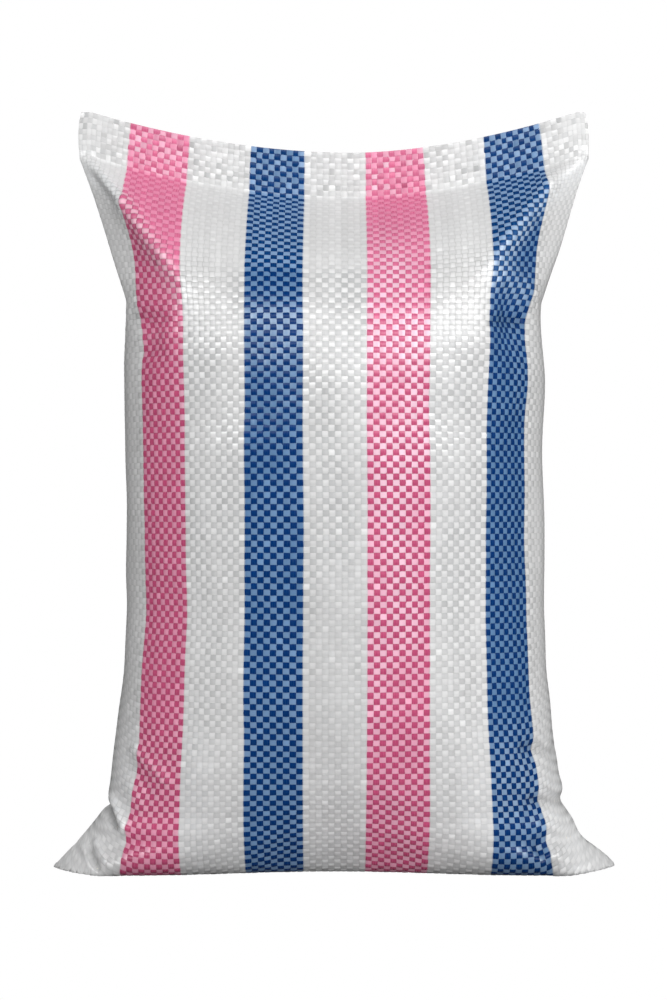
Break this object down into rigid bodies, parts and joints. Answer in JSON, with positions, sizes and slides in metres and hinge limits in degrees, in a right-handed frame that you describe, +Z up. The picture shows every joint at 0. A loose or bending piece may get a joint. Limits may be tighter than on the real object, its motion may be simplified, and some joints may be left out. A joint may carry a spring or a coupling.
{
  "type": "woven rice bag",
  "caption": "Filled woven polypropylene rice bag standing on its base, white with pink and blue stripes, mouth pressed flat, ears at the bottom corners.",
  "frame": {"origin": "on the floor, under the middle of the bag", "axes": "+Z up along the bag from base to mouth, +X to the right along the mouth, the front faces -Y"},
  "size_m": [0.285, 0.142, 0.387],
  "materials": {
    "woven_cloth": "glossy flat polypropylene tapes in plain weave, white with pink and blue warp stripes",
    "thread": "matt white sewing thread",
    "rice": "loose milled rice"
  },
  "bodies": {
    "root": {"woven_sack": "woven_cloth", "seam_thread": "thread", "rice_fill": "rice"}
  },
  "joints": []
}
